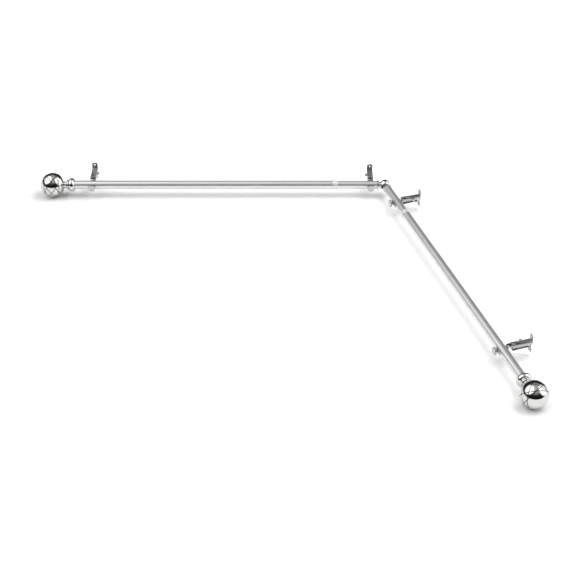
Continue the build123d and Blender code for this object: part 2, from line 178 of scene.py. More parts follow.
class StageSettings(bpy.types.PropertyGroup):
    """Floor, light and camera."""

    floor_drop: bpy.props.FloatProperty(
        name="Floor drop", description="Gap between the lowest point of the object and the floor",
        default=0.0005, unit="LENGTH", subtype="DISTANCE",
    )
    camera_rise: bpy.props.FloatProperty(
        name="Camera elevation", description="Angle of the camera above level",
        default=math.radians(35.9), subtype="ANGLE",
    )
    camera_distance: bpy.props.FloatProperty(
        name="Camera distance", description="From the camera to the point it looks at",
        default=3.0135, unit="LENGTH", subtype="DISTANCE",
    )
    camera_aim: bpy.props.FloatVectorProperty(
        name="Camera aim", description="Point the camera looks at, from the elbow's pivot",
        subtype="TRANSLATION", unit="LENGTH", size=3, default=(-0.238, -0.433, 0.0),
    )
    lens: bpy.props.FloatProperty(
        name="Focal length", description="Focal length in millimetres", default=85.5,
    )


# --- Shader node helpers ------------------------------------------------------------------------
def link(tree, source, target):
    tree.links.new(source, target)


def add(tree, kind, **values):
    """New node with its properties, then its numbered or named inputs, set."""
    node = tree.nodes.new(kind)
    for name, value in values.items():
        if name.startswith("in_"):
            key = name[3:]
            node.inputs[int(key) if key.isdigit() else key.replace("_", " ")].default_value = value
        else:
            setattr(node, name, value)
    return node


def new_group(name, inputs, outputs):
    """Shader node group with named sockets; inputs are (name, type, default)."""
    group = bpy.data.node_groups.new(name, "ShaderNodeTree")
    for socket_name, socket_type, default in inputs:
        socket = group.interface.new_socket(socket_name, in_out="INPUT", socket_type=socket_type)
        if default is not None:
            socket.default_value = default
    for socket_name, socket_type in outputs:
        group.interface.new_socket(socket_name, in_out="OUTPUT", socket_type=socket_type)
    return group, add(group, "NodeGroupInput"), add(group, "NodeGroupOutput")


def grain_group():
    """Fine drawn or brushed lines: noise stretched along the grain direction."""
    group, entry, exit_ = new_group(
        "Drawn Grain",
        [("Vector", "NodeSocketVector", None), ("Stretch", "NodeSocketVector", (1, 1, 1)),
         ("Contrast", "NodeSocketFloat", 0.5)],
        [("Lines", "NodeSocketFloat"), ("Broad", "NodeSocketFloat")],
    )
    scaled = add(group, "ShaderNodeVectorMath", operation="MULTIPLY")
    link(group, entry.outputs["Vector"], scaled.inputs[0])
    link(group, entry.outputs["Stretch"], scaled.inputs[1])
    fine = add(group, "ShaderNodeTexNoise", in_Scale=1.0, in_Detail=4.0, in_Roughness=0.62)
    broad = add(group, "ShaderNodeTexNoise", in_Scale=0.17, in_Detail=2.0)
    link(group, scaled.outputs[0], fine.inputs["Vector"])
    link(group, scaled.outputs[0], broad.inputs["Vector"])
    for noise, name in ((fine, "Lines"), (broad, "Broad")):
        centred = add(group, "ShaderNodeMath", operation="SUBTRACT", in_1=0.5)
        link(group, noise.outputs["Fac"], centred.inputs[0])
        spread = add(group, "ShaderNodeMath", operation="MULTIPLY_ADD", in_2=0.5, use_clamp=True)
        link(group, centred.outputs[0], spread.inputs[0])
        link(group, entry.outputs["Contrast"], spread.inputs[1])
        link(group, spread.outputs[0], exit_.inputs[name])
    return group


def edge_wear_group():
    """Mask that is 1 on convex edges, broken up by noise."""
    group, entry, exit_ = new_group(
        "Edge Wear",
        [("Width", "NodeSocketFloat", 0.0004), ("Amount", "NodeSocketFloat", 1.0),
         ("Breakup Scale", "NodeSocketFloat", 900.0)],
        [("Mask", "NodeSocketFloat")],
    )
    bevel = add(group, "ShaderNodeBevel", samples=4)
    link(group, entry.outputs["Width"], bevel.inputs["Radius"])
    flat = add(group, "ShaderNodeNewGeometry")
    likeness = add(group, "ShaderNodeVectorMath", operation="DOT_PRODUCT")
    link(group, bevel.outputs[0], likeness.inputs[0])
    link(group, flat.outputs["True Normal"], likeness.inputs[1])
    ramp = add(group, "ShaderNodeMapRange")
    for index, value in ((1, 0.995), (2, 0.9), (3, 0.0), (4, 1.0)):
        ramp.inputs[index].default_value = value
    link(group, likeness.outputs["Value"], ramp.inputs[0])
    place = add(group, "ShaderNodeTexCoord")
    noise = add(group, "ShaderNodeTexNoise", in_Detail=3.0)
    link(group, place.outputs["Object"], noise.inputs["Vector"])
    link(group, entry.outputs["Breakup Scale"], noise.inputs["Scale"])
    rough = add(group, "ShaderNodeMapRange")
    for index, value in ((1, 0.35), (2, 0.6), (3, 0.3), (4, 1.0)):
        rough.inputs[index].default_value = value
    link(group, noise.outputs["Fac"], rough.inputs[0])
    worn = add(group, "ShaderNodeMath", operation="MULTIPLY")
    link(group, ramp.outputs[0], worn.inputs[0])
    link(group, rough.outputs[0], worn.inputs[1])
    scaled = add(group, "ShaderNodeMath", operation="MULTIPLY", use_clamp=True)
    link(group, worn.outputs[0], scaled.inputs[0])
    link(group, entry.outputs["Amount"], scaled.inputs[1])
    link(group, scaled.outputs[0], exit_.inputs["Mask"])
    return group


def handling_group():
    """Handling marks: soft smudges and sparse specks of dust."""
    group, entry, exit_ = new_group(
        "Handling Marks",
        [("Vector", "NodeSocketVector", None), ("Smudge Scale", "NodeSocketFloat", 45.0),
         ("Speck Scale", "NodeSocketFloat", 1800.0)],
        [("Smudge", "NodeSocketFloat"), ("Specks", "NodeSocketFloat")],
    )
    smudge = add(group, "ShaderNodeTexNoise", in_Detail=5.0, in_Roughness=0.6, in_Distortion=0.8)
    link(group, entry.outputs["Vector"], smudge.inputs["Vector"])
    link(group, entry.outputs["Smudge Scale"], smudge.inputs["Scale"])
    soft = add(group, "ShaderNodeMapRange")
    for index, value in ((1, 0.42), (2, 0.72), (3, 0.0), (4, 1.0)):
        soft.inputs[index].default_value = value
    link(group, smudge.outputs["Fac"], soft.inputs[0])
    link(group, soft.outputs[0], exit_.inputs["Smudge"])
    cells = add(group, "ShaderNodeTexVoronoi", in_Randomness=1.0)
    link(group, entry.outputs["Vector"], cells.inputs["Vector"])
    link(group, entry.outputs["Speck Scale"], cells.inputs["Scale"])
    near = add(group, "ShaderNodeMath", operation="LESS_THAN", in_1=0.11)
    link(group, cells.outputs["Distance"], near.inputs[0])
    some = add(group, "ShaderNodeMath", operation="GREATER_THAN", in_1=0.82)
    shade = add(group, "ShaderNodeSeparateColor")
    link(group, cells.outputs["Color"], shade.inputs[0])
    link(group, shade.outputs[0], some.inputs[0])
    specks = add(group, "ShaderNodeMath", operation="MULTIPLY")
    link(group, near.outputs[0], specks.inputs[0])
    link(group, some.outputs[0], specks.inputs[1])
    link(group, specks.outputs[0], exit_.inputs["Specks"])
    return group


RINGS = 6
RING_TILT = math.radians(38.0)
FIRST_RING = math.radians(15.0)


def ring_axis(ring):
    """Axis of an engraved ring in the rod frame."""
    turn = FIRST_RING + 2 * math.pi * ring / RINGS
    lean = math.sin(RING_TILT)
    return (math.cos(RING_TILT), lean * math.cos(turn), lean * math.sin(turn))


def engraved_group():
    """Mask that is 1 along the engraved rings, which are great circles of a ball; it carries the dark colour
    painted along them.
    """
    group, entry, exit_ = new_group(
        "Engraved Rings",
        [("Vector", "NodeSocketVector", None), ("Half Width", "NodeSocketFloat", 0.0008)],
        [("Mask", "NodeSocketFloat")],
    )
    nearest = None
    for ring in range(RINGS):
        square = ring_axis(ring)
        aside = add(group, "ShaderNodeVectorMath", operation="DOT_PRODUCT", in_1=square)
        link(group, entry.outputs["Vector"], aside.inputs[0])
        off = add(group, "ShaderNodeMath", operation="ABSOLUTE")
        link(group, aside.outputs["Value"], off.inputs[0])
        if nearest is None:
            nearest = off.outputs[0]
            continue
        least = add(group, "ShaderNodeMath", operation="MINIMUM")
        link(group, nearest, least.inputs[0])
        link(group, off.outputs[0], least.inputs[1])
        nearest = least.outputs[0]
    share = add(group, "ShaderNodeMath", operation="DIVIDE")
    link(group, nearest, share.inputs[0])
    link(group, entry.outputs["Half Width"], share.inputs[1])
    mask = add(group, "ShaderNodeMapRange", interpolation_type="SMOOTHSTEP")
    for index, value in ((1, 0.6), (2, 1.0), (3, 1.0), (4, 0.0)):
        mask.inputs[index].default_value = value
    link(group, share.outputs[0], mask.inputs[0])
    link(group, mask.outputs[0], exit_.inputs["Mask"])
    return group


GROUP_MAKERS = {
    "Drawn Grain": grain_group,
    "Edge Wear": edge_wear_group,
    "Handling Marks": handling_group,
    "Engraved Rings": engraved_group,
}


def place_group(tree, name, **values):
    """Group node in a material, with its inputs set."""
    group = bpy.data.node_groups.get(name) or GROUP_MAKERS[name]()
    node = tree.nodes.new("ShaderNodeGroup")
    node.node_tree = group
    for key, value in values.items():
        node.inputs[key.replace("_", " ").title()].default_value = value
    return node


def blank_material(name, **sockets):
    """Material with a Principled BSDF whose constant sockets are set."""
    material = bpy.data.materials.new(name)
    material.use_nodes = True
    shader = material.node_tree.nodes["Principled BSDF"]
    for key, value in sockets.items():
        shader.inputs[key.replace("_", " ")].default_value = value
    return material, material.node_tree, shader


def mix_colour(tree, factor, first, second):
    """Colour mixed from first to second by a factor output."""
    mix = add(tree, "ShaderNodeMix", data_type="RGBA")
    link(tree, factor, mix.inputs["Factor"])
    for colour, socket in ((first, mix.inputs[6]), (second, mix.inputs[7])):
        if isinstance(colour, bpy.types.NodeSocket):
            link(tree, colour, socket)
        else:
            socket.default_value = (*colour, 1)
    return mix.outputs[2]


def spread(tree, factor, low, high):
    """Factor output mapped from 0..1 to low..high."""
    mapped = add(tree, "ShaderNodeMapRange", in_3=low, in_4=high)
    link(tree, factor, mapped.inputs[0])
    return mapped.outputs[0]


def total(tree, first, second, operation="ADD"):
    node = add(tree, "ShaderNodeMath", operation=operation, use_clamp=True)
    link(tree, first, node.inputs[0])
    link(tree, second, node.inputs[1])
    return node.outputs[0]


def bump(tree, shader, height, strength, distance):
    node = add(tree, "ShaderNodeBump", in_Strength=strength, in_Distance=distance)
    link(tree, height, node.inputs["Height"])
    link(tree, node.outputs[0], shader.inputs["Normal"])


def tinted(colour, factor):
    return tuple(min(1.0, channel * factor) for channel in colour)


# --- Finishes -----------------------------------------------------------------------------------
# Half width of the dark band painted along each engraved ring.
RING_HALF_WIDTH = 0.95 * MM

# Colour of the specks of dust on each finish.
DUST_ON = {
    "nickel": (0.5, 0.48, 0.45),
    "chrome": (0.55, 0.53, 0.5),
    "zinc": (0.42, 0.39, 0.33),
    "nylon": (0.3, 0.29, 0.27),
}


def satin_nickel(colours):
    """Rods: plated steel drawn lengthwise, with faint lines along the tube."""
    material, tree, shader = blank_material("satin_nickel_rod", Metallic=0.84)
    place = add(tree, "ShaderNodeTexCoord")
    grain = place_group(tree, "Drawn Grain", stretch=(14.0, 5200.0, 5200.0), contrast=1.3)
    marks = place_group(tree, "Handling Marks", smudge_scale=26.0, speck_scale=1500.0)
    for group in (grain, marks):
        link(tree, place.outputs["Object"], group.inputs["Vector"])
    nickel = colours.nickel
    base = mix_colour(tree, grain.outputs["Broad"], tinted(nickel, 0.93), tinted(nickel, 1.06))
    handled = spread(tree, marks.outputs["Smudge"], 0.0, 0.25)
    smudged = mix_colour(tree, handled, base, tinted(nickel, 0.86))
    dust = spread(tree, marks.outputs["Specks"], 0.0, 0.5)
    dusty = mix_colour(tree, dust, smudged, DUST_ON["nickel"])
    link(tree, dusty, shader.inputs["Base Color"])
    drawn = spread(tree, grain.outputs["Lines"], 0.28, 0.38)
    rough = total(tree, drawn, spread(tree, marks.outputs["Smudge"], 0.0, 0.05))
    link(tree, rough, shader.inputs["Roughness"])
    bump(tree, shader, grain.outputs["Lines"], 0.12, 0.00002)
    return material


def painted_sheen_ring(colours):
    """Mouth rings: the rods' plate with a painted sheen, a paler, part-metal base that shows as a bright band all
    the way round.
    """
    material, tree, shader = blank_material("nickel_ring_painted_sheen", Metallic=0.35)
    place = add(tree, "ShaderNodeTexCoord")
    marks = place_group(tree, "Handling Marks", smudge_scale=60.0, speck_scale=1500.0)
    wear = place_group(tree, "Edge Wear", width=0.0003, amount=0.6, breakup_scale=900.0)
    link(tree, place.outputs["Object"], marks.inputs["Vector"])
    # Painted sheen: a base 1.1 times the nickel on a surface only 0.35 metal keeps the ring bright from every
    # side.
    base = mix_colour(tree, marks.outputs["Smudge"], tinted(colours.nickel, 1.1), colours.nickel)
    worn = mix_colour(tree, wear.outputs["Mask"], base, tinted(colours.nickel, 0.8))
    link(tree, worn, shader.inputs["Base Color"])
    link(tree, spread(tree, marks.outputs["Smudge"], 0.16, 0.28), shader.inputs["Roughness"])
    bump(tree, shader, marks.outputs["Smudge"], 0.05, 0.00003)
    return material


def polished_chrome(colours, name="polished_chrome", engraved=False):
    """Cups and elbow: mirror plate with faint smudges and specks."""
    material, tree, shader = blank_material(name, Metallic=1.0)
    place = add(tree, "ShaderNodeTexCoord")
    marks = place_group(tree, "Handling Marks", smudge_scale=55.0, speck_scale=1300.0)
    link(tree, place.outputs["Object"], marks.inputs["Vector"])
    handled = spread(tree, marks.outputs["Smudge"], 0.0, 0.3)
    smudged = mix_colour(tree, handled, colours.chrome, tinted(colours.chrome, 0.9))
    dust = spread(tree, marks.outputs["Specks"], 0.0, 0.35)
    dusty = mix_colour(tree, dust, smudged, DUST_ON["chrome"])
    polish = spread(tree, marks.outputs["Smudge"], 0.035, 0.075)
    rough = total(tree, polish, spread(tree, marks.outputs["Specks"], 0.0, 0.3))
    if engraved:
        rings = place_group(tree, "Engraved Rings", half_width=RING_HALF_WIDTH)
        link(tree, place.outputs["Object"], rings.inputs["Vector"])
        # Dark colour painted along the engraved rings.
        dusty = mix_colour(tree, rings.outputs["Mask"], dusty, colours.ring_line_colour)
        rough = total(tree, rough, spread(tree, rings.outputs["Mask"], 0.0, 0.3))
    link(tree, dusty, shader.inputs["Base Color"])
    link(tree, rough, shader.inputs["Roughness"])
    ripple = add(tree, "ShaderNodeTexNoise", in_Scale=70.0, in_Detail=2.0)
    link(tree, place.outputs["Object"], ripple.inputs["Vector"])
    bump(tree, shader, ripple.outputs["Fac"], 0.05, 0.0002)
    return material


def engraved_chrome(colours):
    """Balls: the same plate, with a dark colour painted along the engraved rings."""
    return polished_chrome(colours, "engraved_chrome", engraved=True)


def pressed_steel(colours):
    """Brackets: bright plate over rolled sheet, with rolling marks and bright rubbed edges."""
    material, tree, shader = blank_material("pressed_steel_plate", Metallic=1.0)
    place = add(tree, "ShaderNodeTexCoord")
    grain = place_group(tree, "Drawn Grain", stretch=(900.0, 160.0, 900.0), contrast=1.1)
    marks = place_group(tree, "Handling Marks", smudge_scale=120.0, speck_scale=1700.0)
    wear = place_group(tree, "Edge Wear", width=0.0005, amount=0.9, breakup_scale=700.0)
    for group in (grain, marks):
        link(tree, place.outputs["Object"], group.inputs["Vector"])
    steel = colours.pressed_steel
    base = mix_colour(tree, grain.outputs["Broad"], tinted(steel, 0.86), tinted(steel, 1.1))
    handled = spread(tree, marks.outputs["Smudge"], 0.0, 0.35)
    smudged = mix_colour(tree, handled, base, tinted(steel, 0.72))
    worn = mix_colour(tree, wear.outputs["Mask"], smudged, tinted(steel, 1.4))
    link(tree, worn, shader.inputs["Base Color"])
    rolled = spread(tree, grain.outputs["Lines"], 0.2, 0.34)
    rough = total(tree, rolled, spread(tree, marks.outputs["Smudge"], 0.0, 0.08))
    rubbed = spread(tree, wear.outputs["Mask"], 0.0, 0.08)
    link(tree, total(tree, rough, rubbed, "SUBTRACT"), shader.inputs["Roughness"])
    bump(tree, shader, grain.outputs["Lines"], 0.18, 0.00003)
    return material


def screw_zinc(colours):
    """Screws and nuts: zinc plate with a fine cool bloom and bright rubbed edges."""
    material, tree, shader = blank_material("bright_zinc_screw", Metallic=1.0)
    place = add(tree, "ShaderNodeTexCoord")
    marks = place_group(tree, "Handling Marks", smudge_scale=420.0, speck_scale=2600.0)
    wear = place_group(tree, "Edge Wear", width=0.00025, amount=1.0, breakup_scale=1500.0)
    link(tree, place.outputs["Object"], marks.inputs["Vector"])
    zinc = colours.screw_zinc
    bloom = mix_colour(tree, marks.outputs["Smudge"], zinc, tinted(zinc, 0.74))
    dust = spread(tree, marks.outputs["Specks"], 0.0, 0.6)
    dusty = mix_colour(tree, dust, bloom, DUST_ON["zinc"])
    worn = mix_colour(tree, wear.outputs["Mask"], dusty, tinted(zinc, 1.5))
    link(tree, worn, shader.inputs["Base Color"])
    plated = spread(tree, marks.outputs["Smudge"], 0.2, 0.36)
    rubbed = spread(tree, wear.outputs["Mask"], 0.0, 0.1)
    link(tree, total(tree, plated, rubbed, "SUBTRACT"), shader.inputs["Roughness"])
    bump(tree, shader, marks.outputs["Smudge"], 0.15, 0.00004)
    return material


def moulded_nylon(colours):
    """Glide plugs and inserts: off-white moulding with a slight orange-peel surface."""
    material, tree, shader = blank_material("moulded_nylon", Subsurface_Weight=0.15, Subsurface_Scale=0.001)
    place = add(tree, "ShaderNodeTexCoord")
    marks = place_group(tree, "Handling Marks", smudge_scale=160.0, speck_scale=1500.0)
    link(tree, place.outputs["Object"], marks.inputs["Vector"])
    base = mix_colour(tree, marks.outputs["Smudge"], colours.nylon, tinted(colours.nylon, 0.9))
    dust = spread(tree, marks.outputs["Specks"], 0.0, 0.7)
    link(tree, mix_colour(tree, dust, base, DUST_ON["nylon"]), shader.inputs["Base Color"])
    link(tree, spread(tree, marks.outputs["Smudge"], 0.38, 0.55), shader.inputs["Roughness"])
    peel = add(tree, "ShaderNodeTexNoise", in_Scale=1400.0, in_Detail=2.0)
    link(tree, place.outputs["Object"], peel.inputs["Vector"])
    bump(tree, shader, peel.outputs["Fac"], 0.2, 0.00004)
    return material


FINISH_MAKERS = {
    "satin_nickel": satin_nickel,
    "mouth_ring": painted_sheen_ring,
    "polished_chrome": polished_chrome,
    "engraved_chrome": engraved_chrome,
    "bracket_steel": pressed_steel,
    "screw_steel": screw_zinc,
    "nylon": moulded_nylon,
}
SLOT_OF = {part["node"]: part["material_slot"] for part in frame["record"]["subparts"]}
finishes = {}


def finish_for(slot_name):
    """The material of a record slot or of a special piece, made once."""
    if slot_name not in finishes:
        finishes[slot_name] = FINISH_MAKERS[slot_name](bpy.context.scene.rod_colours)
    return finishes[slot_name]


# --- Mesh helpers -------------------------------------------------------------------------------
def mesh_object(name, vertices, faces):
    mesh = bpy.data.meshes.new(name)
    mesh.from_pydata([tuple(v) for v in vertices], [], faces)
    mesh.validate()
    obj = bpy.data.objects.new(name, mesh)
    bpy.context.scene.collection.objects.link(obj)
    return obj


def shade(obj, angle=math.radians(32)):
    """Smooth shading with sharp edges kept above an angle."""
    mesh = obj.data
    mesh.shade_smooth()
    mesh.set_sharp_from_angle(angle=angle)


def tidy(obj, merge=1e-7):
    """Merged, outward-facing mesh."""
    work = bmesh.new()
    work.from_mesh(obj.data)
    bmesh.ops.remove_doubles(work, verts=work.verts, dist=merge)
    bmesh.ops.recalc_face_normals(work, faces=work.faces)
    work.to_mesh(obj.data)
    work.free()


def stands_for(obj, node, matrix, finish=None):
    """Puts a piece built in a working frame in place of a CAD node."""
    obj.matrix_world = matrix
    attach(obj, BODY_OF[node])
    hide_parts(node)
    obj.data.materials.clear()
    obj.data.materials.append(finish_for(finish or SLOT_OF[node]))
    return obj


def turned(name, profile, steps):
    """Ring-shaped mesh turned about X from a closed outline of (x, radius) points."""
    vertices, faces = [], []
    for x, radius in profile:
        for step in range(steps):
            turn = 2 * math.pi * step / steps
            vertices.append((x, radius * math.cos(turn), radius * math.sin(turn)))
    for ring in range(len(profile)):
        first, second = ring * steps, (ring + 1) % len(profile) * steps
        for step in range(steps):
            after = (step + 1) % steps
            faces.append((first + step, first + after, second + after, second + step))
    obj = mesh_object(name, vertices, faces)
    tidy(obj)
    shade(obj)
    return obj


def arc(centre, radius, start, end, steps):
    """Points on an arc in the (x, radius) plane; angles in degrees."""
    points = []
    for step in range(steps + 1):
        angle = math.radians(start + (end - start) * step / steps)
        points.append((centre[0] + radius * math.cos(angle), centre[1] + radius * math.sin(angle)))
    return points


def curve_through(first, middle, last, steps):
    """Points on the circular arc through three (x, radius) points."""
    ax, ay = first
    bx, by = middle
    cx, cy = last
    double_area = 2 * (ax * (by - cy) + bx * (cy - ay) + cx * (ay - by))
    a2, b2, c2 = (x * x + y * y for x, y in (first, middle, last))
    ux = (a2 * (by - cy) + b2 * (cy - ay) + c2 * (ay - by)) / double_area
    uy = (a2 * (cx - bx) + b2 * (ax - cx) + c2 * (bx - ax)) / double_area
    radius = math.hypot(ax - ux, ay - uy)
    angles = [math.degrees(math.atan2(y - uy, x - ux)) for x, y in (first, middle, last)]
    while angles[1] - angles[0] > 180:
        angles[1] -= 360
    while angles[1] - angles[0] < -180:
        angles[1] += 360
    while angles[2] - angles[1] > 180:
        angles[2] -= 360
    while angles[2] - angles[1] < -180:
        angles[2] += 360
    return arc((ux, uy), radius, angles[0], angles[2], steps)


def rounded_copy(node, matrix, width, segments=2):
    """A CAD node's shape in a working frame, with its flat faces rebuilt and its edges rounded."""
    mesh = frame["nodes"][node].data.copy()
    mesh.transform(matrix.inverted())
    obj = bpy.data.objects.new(f"{node}_finished", mesh)
    bpy.context.scene.collection.objects.link(obj)
    work = bmesh.new()
    work.from_mesh(mesh)
    bmesh.ops.remove_doubles(work, verts=work.verts, dist=2e-6)
    flat = math.radians(0.5)
    bmesh.ops.dissolve_limit(work, angle_limit=flat, verts=work.verts, edges=work.edges)
    work.to_mesh(mesh)
    work.free()
    mesh.shade_smooth()
    rounding = obj.modifiers.new("rounding", "BEVEL")
    rounding.width = width
    rounding.segments = segments
    rounding.limit_method = "ANGLE"
    rounding.angle_limit = math.radians(25)
    rounding.miter_outer = "MITER_ARC"
    graph = bpy.context.evaluated_depsgraph_get()
    finished = bpy.data.meshes.new_from_object(obj.evaluated_get(graph))
    obj.modifiers.clear()
    obj.data = finished
    shade(obj, math.radians(38))
    return obj


def bracket_matrix(place):
    """Bracket frame to row frame: the rod frame moved to where the bracket holds its rod."""
    side = place.split("_")[0]
    screw = ROD[side].inverted() @ Vector(JOINTS[f"{place}_lock_screw_turn"]["pos_m"])
    return ROD[side] @ Matrix.Translation((screw.x, 0, 0))


def joined(name, parts):
    """One object from several built in the same frame."""
    work = bmesh.new()
    for part in parts:
        work.from_mesh(part.data)
        bpy.data.objects.remove(part)
    mesh = bpy.data.meshes.new(name)
    work.to_mesh(mesh)
    work.free()
    obj = bpy.data.objects.new(name, mesh)
    bpy.context.scene.collection.objects.link(obj)
    return obj


def stacked(name, rings):
    """Mesh from rings of points with equal counts; the first and last are closed by flat faces."""
    vertices, faces = [], []
    count = len(rings[0])
    for ring in rings:
        vertices.extend(ring)
    for level in range(len(rings) - 1):
        low, high = level * count, (level + 1) * count
        for step in range(count):
            after = (step + 1) % count
            faces.append((low + step, low + after, high + after, high + step))
    last = (len(rings) - 1) * count
    faces.append(tuple(reversed(range(count))))
    faces.append(tuple(range(last, last + count)))
    obj = mesh_object(name, vertices, faces)
    tidy(obj)
    shade(obj)
    return obj


def fluted_head(radius, start, length, flutes, depth):
    """Thumbscrew head along Z with round flutes, rolled rims and a dished outer face."""
    rim = length * 0.12
    steps = flutes * 8
    levels = [
        (start, radius - rim, 0.5), (start + rim * 0.3, radius - rim * 0.3, 0.9), (start + rim, radius, 1),
        (start + length - rim, radius, 1), (start + length - rim * 0.3, radius - rim * 0.3, 0.9),
        (start + length, radius - rim, 0.5), (start + length, radius * 0.72, 0),
        (start + length - rim * 0.6, radius * 0.66, 0), (start + length - rim * 0.75, radius * 0.3, 0),
    ]
    rings = []
    for z, r, share in levels:
        ring = []
        for step in range(steps):
            turn = 2 * math.pi * step / steps
            flute = max(0.0, math.cos(flutes * turn)) ** 0.7
            here = r - depth * share * flute
            ring.append((here * math.cos(turn), here * math.sin(turn), z))
        rings.append(ring)
    return stacked("head", rings)


def threaded_shank(radius, start, end, pitch):
    """Screw thread along Z from start up to end, with a chamfered tip at start."""
    depth = pitch * 0.5
    around, per_turn = 36, 8
    levels = max(2, round((end - start) / pitch * per_turn))
    rings = []
    for level in range(levels + 1):
        z = start + (end - start) * level / levels
        tip = min(1.0, 0.55 + 0.45 * (z - start) / (1.5 * pitch))
        ring = []
        for step in range(around):
            phase = (z / pitch - step / around) % 1.0
            here = (radius - depth * (1 - abs(2 * phase - 1))) * tip
            turn = 2 * math.pi * step / around
            ring.append((here * math.cos(turn), here * math.sin(turn), z))
        rings.append(ring)
    return stacked("thread", rings)


def smooth_shank(radius, start, end, steps=48):
    """Plain round shank along Z with a small chamfer at each end."""
    chamfer = radius * 0.08
    slim = radius - chamfer
    levels = [(start, slim), (start + chamfer, radius), (end - chamfer, radius), (end, slim)]
    turns = [2 * math.pi * step / steps for step in range(steps)]
    rings = [[(r * math.cos(turn), r * math.sin(turn), z) for turn in turns] for z, r in levels]
    return stacked("shank", rings)


# --- Operators ----------------------------------------------------------------------------------
class CURTAINROD_OT_tubes(bpy.types.Operator):
    """Build the inner and outer tube of each rod, with chamfered ends"""

    bl_idname = "curtain_rod.tubes"
    bl_label = "Tubes"

    def execute(self, context):
        sizes = context.scene.rod_sizes
        lip = sizes.tube_lip
        for side in SIDES:
            for kind in ("inner", "outer"):
                node = f"{kind}_tube_{side}"
                near, far = reach(node, ROD[side])
                points = points_in(node, ROD[side])
                radii = [math.hypot(point.y, point.z) for point in points]
                bore, outside = min(radii), max(radii)
                profile = [
                    (near, bore + lip), (near, outside - lip), (near + lip, outside), (far - lip, outside),
                    (far, outside - lip), (far, bore + lip), (far - lip, bore), (near + lip, bore),
                ]
                tube = turned(f"{kind}_tube_{side}_drawn", profile, sizes.round_steps)
                stands_for(tube, node, ROD[side])
        return {"FINISHED"}


class CURTAINROD_OT_mouth_rings(bpy.types.Operator):
    """Build the rounded ferrule on the mouth of each outer tube"""

    bl_idname = "curtain_rod.mouth_rings"
    bl_label = "Mouth rings"

    def execute(self, context):
        for side in SIDES:
            node = f"mouth_ring_{side}"
            front, back = reach(node, ROD[side])
            mouth = reach(f"outer_tube_{side}", ROD[side])[0]
            radii = [math.hypot(point.y, point.z) for point in points_in(node, ROD[side])]
            lip_r, outside = min(radii), max(radii)
            sleeve_r = widest(f"outer_tube_{side}", ROD[side]) + FIT
            roll = (outside - sleeve_r) * 0.8
            profile = [(front, lip_r), *arc((front + roll, outside - roll), roll, 180, 90, 6)]
            profile += [*arc((back - roll, outside - roll), roll, 90, 0, 6), (back, sleeve_r)]
            profile += [(mouth, sleeve_r), (mouth, lip_r)]
            ring = turned(f"mouth_ring_{side}_rolled", profile, context.scene.rod_sizes.round_steps)
            stands_for(ring, node, ROD[side], finish="mouth_ring")
        return {"FINISHED"}


# Millimetres: radii of the cup's lip, bead, waist and neck, and how far past the tube's end its
# bulge, groove and bead stop.
CUP_RADII = (11.6, 12.6, 11.34, 8.5)
CUP_STATIONS = (7.32, 8.3, 12.2)
CUP_LIP_ROUND = 0.3 * MM
CUP_GROOVE_ROUND = 0.55 * MM
CUP_CREST_SETBACK = 1.2 * MM    # from the tube's end back to the bulge's widest ring
CUP_STEP = 1 * MM               # step down after the bulge and after the bead
CUP_NECK_HOLLOW = 0.6 * MM      # how much slimmer the neck is halfway along


class CURTAINROD_OT_finials(bpy.types.Operator):
    """Build the turned cup and the engraved ball of each finial"""

    bl_idname = "curtain_rod.finials"
    bl_label = "Finials"

    def execute(self, context):
        for side in SIDES:
            stands_for(self.cup(side, context.scene.rod_sizes.round_steps), f"finial_cup_{side}", ROD[side])
            node = f"finial_ball_{side}"
            radius = reach(node, ROD[side], 2)[1]
            matrix = ROD[side] @ Matrix.Translation((reach(node, ROD[side])[1] - radius, 0, 0))
            stands_for(self.ball(node, matrix, radius), node, matrix, finish="engraved_chrome")
        return {"FINISHED"}

    def cup(self, side, steps):
        node = f"finial_cup_{side}"
        matrix = ROD[side]
        end = reach(f"outer_tube_{side}", matrix)[1]
        low, high = reach(node, matrix)
        bulge_r = widest(node, matrix)
        socket_r = widest(f"outer_tube_{side}", matrix) + FIT
        bore_r = min(math.hypot(point.y, point.z) for point in points_in(node, matrix))
        lip_r, bead_r, waist_r, neck_r = (value * MM for value in CUP_RADII)
        bulge_end, groove, bead_end = (end + value * MM for value in CUP_STATIONS)
        after_groove, after_bead = groove + 0.2 * MM, bead_end + 0.05 * MM
        mid_bead, mid_neck = (groove + bead_end) / 2, (bead_end + high) / 2
        roll = CUP_LIP_ROUND
        profile = [(end, bore_r), (end, socket_r), (low + roll, socket_r)]
        profile += arc((low + roll, socket_r + roll), roll, 270, 180, 4)
        profile += arc((low + roll, lip_r - roll), roll, 180, 110, 4)
        crest = (end - CUP_CREST_SETBACK, bulge_r)
        profile += curve_through((low + roll * 1.4, lip_r), crest, (bulge_end, waist_r + CUP_STEP), 40)
        profile += arc((groove, waist_r + CUP_GROOVE_ROUND), CUP_GROOVE_ROUND, 200, 270, 5)
        profile += curve_through((after_groove, waist_r), (mid_bead, bead_r), (bead_end, waist_r), 18)
        hollow = (mid_neck, neck_r - CUP_NECK_HOLLOW)
        profile += curve_through((after_bead, neck_r + CUP_STEP), hollow, (high, neck_r), 14)
        profile += [(high, bore_r)]
        return turned(f"{node}_turned", profile, steps)

    def ball(self, node, matrix, radius):
        """The CAD ball about its own centre, with exact normals on the plain part of its surface."""
        mesh = frame["nodes"][node].data.copy()
        mesh.transform(matrix.inverted())
        ball = bpy.data.objects.new(f"{node}_engraved", mesh)
        bpy.context.scene.collection.objects.link(ball)
        tidy(ball, 1e-6)
        mesh.shade_smooth()
        on_ball = [abs(vertex.co.length - radius) < 0.02 * MM for vertex in mesh.vertices]
        normals = [None] * len(mesh.loops)
        for polygon in mesh.polygons:
            plain = all(on_ball[index] for index in polygon.vertices)
            for loop, index in zip(polygon.loop_indices, polygon.vertices):
                normals[loop] = mesh.vertices[index].co.normalized() if plain else polygon.normal.copy()
        mesh.normals_split_custom_set(normals)
        return ball


